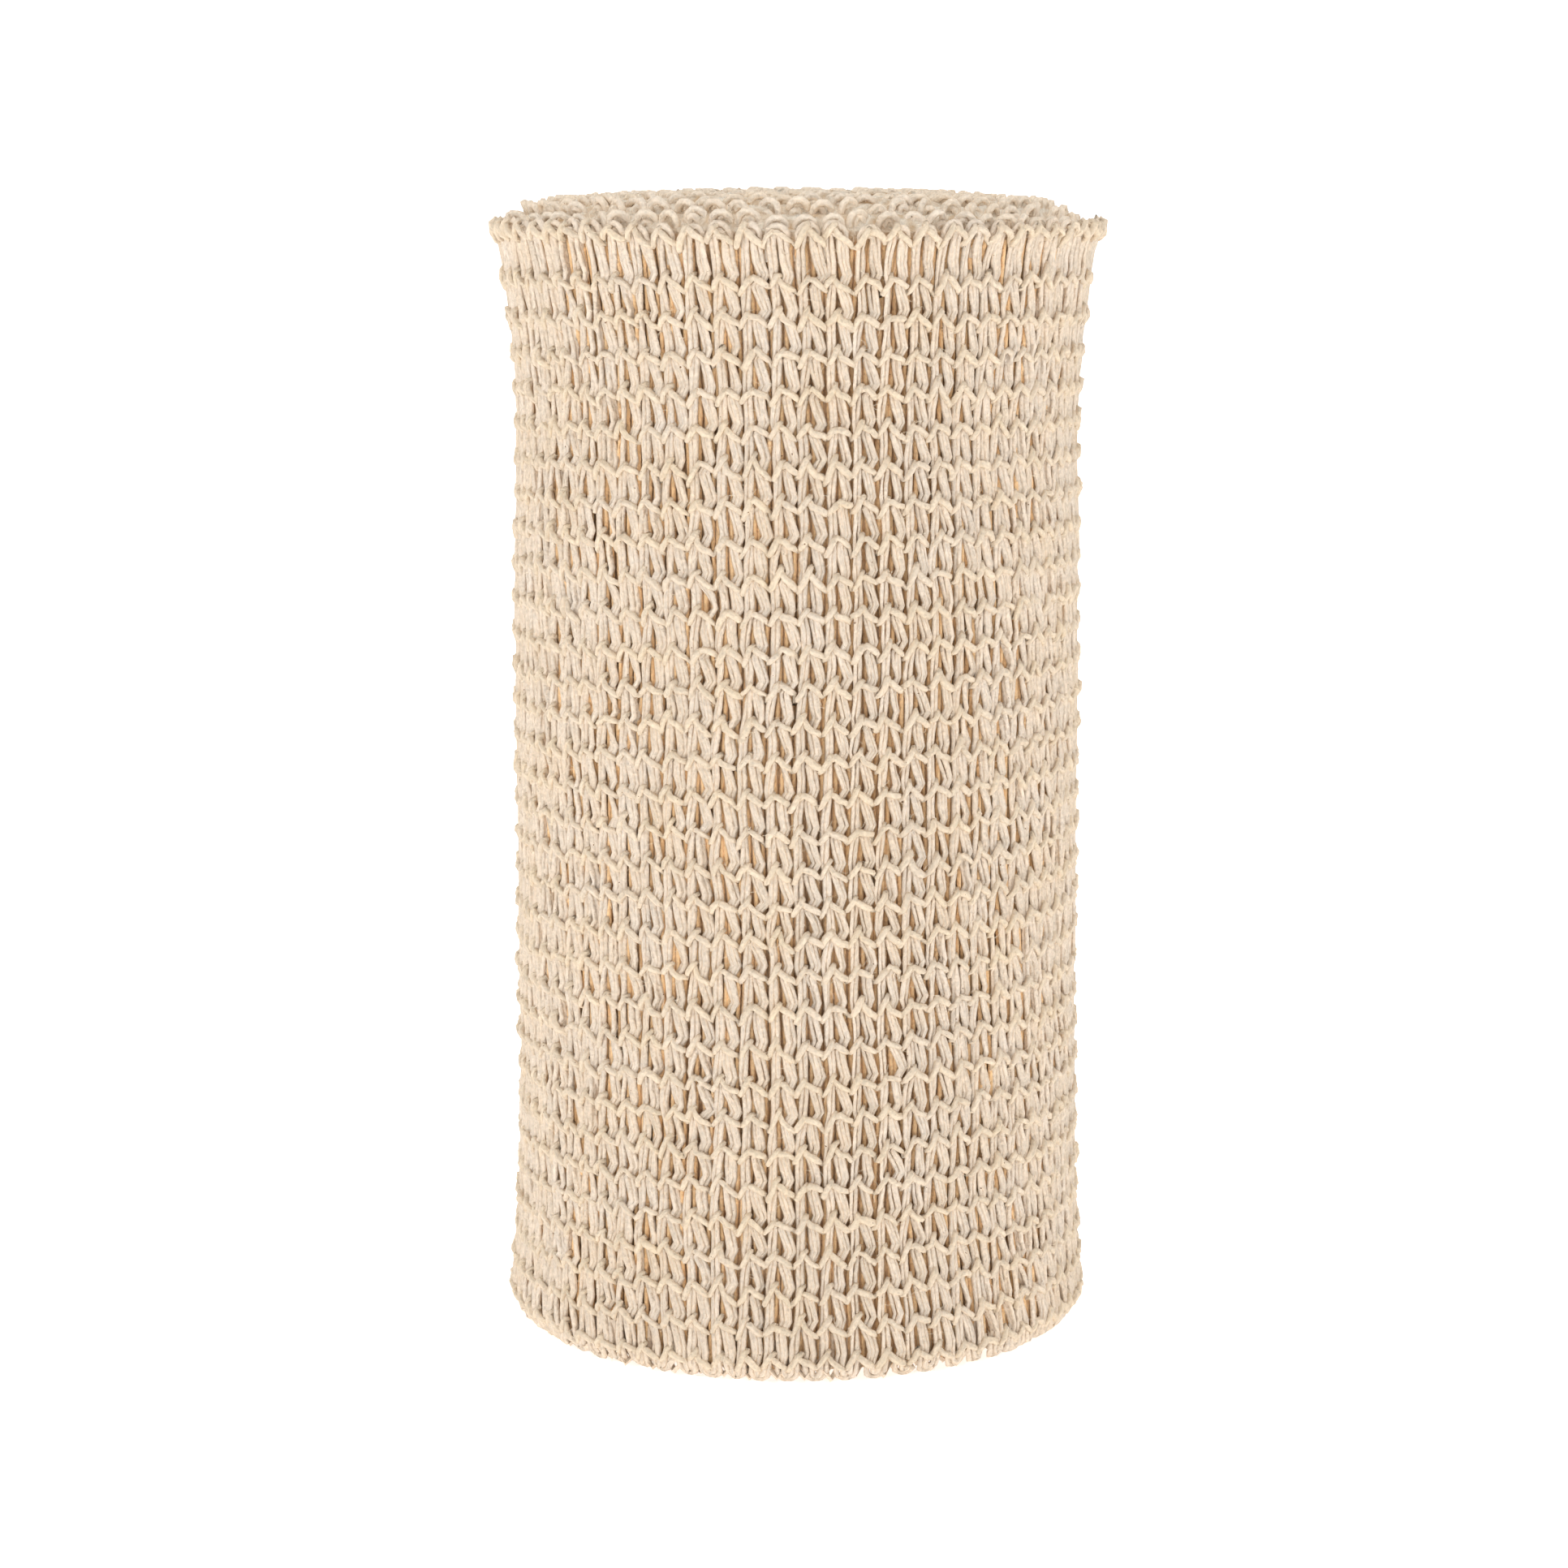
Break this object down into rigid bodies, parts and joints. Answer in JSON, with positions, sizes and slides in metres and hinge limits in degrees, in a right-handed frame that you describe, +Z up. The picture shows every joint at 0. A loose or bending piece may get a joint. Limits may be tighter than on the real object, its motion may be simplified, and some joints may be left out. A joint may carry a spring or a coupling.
{
  "type": "cohesive bandage roll",
  "caption": "Roll of knitted cotton cohesive bandage wound on itself without a core, standing on one end, drawn in at the waist with a domed, looped upper end.",
  "frame": {"origin": "middle of the flat lower end, where the roll stands", "axes": "+Z up along the roll's axis; -Y is the front, away from the cut end of the cloth"},
  "size_m": [0.0544, 0.055, 0.1035],
  "materials": {
    "cotton_knit": "undyed cotton knit of fine twisted yarns, matt, slightly fuzzy"
  },
  "bodies": {
    "root": {"bandage_roll": "cotton_knit"}
  },
  "joints": []
}
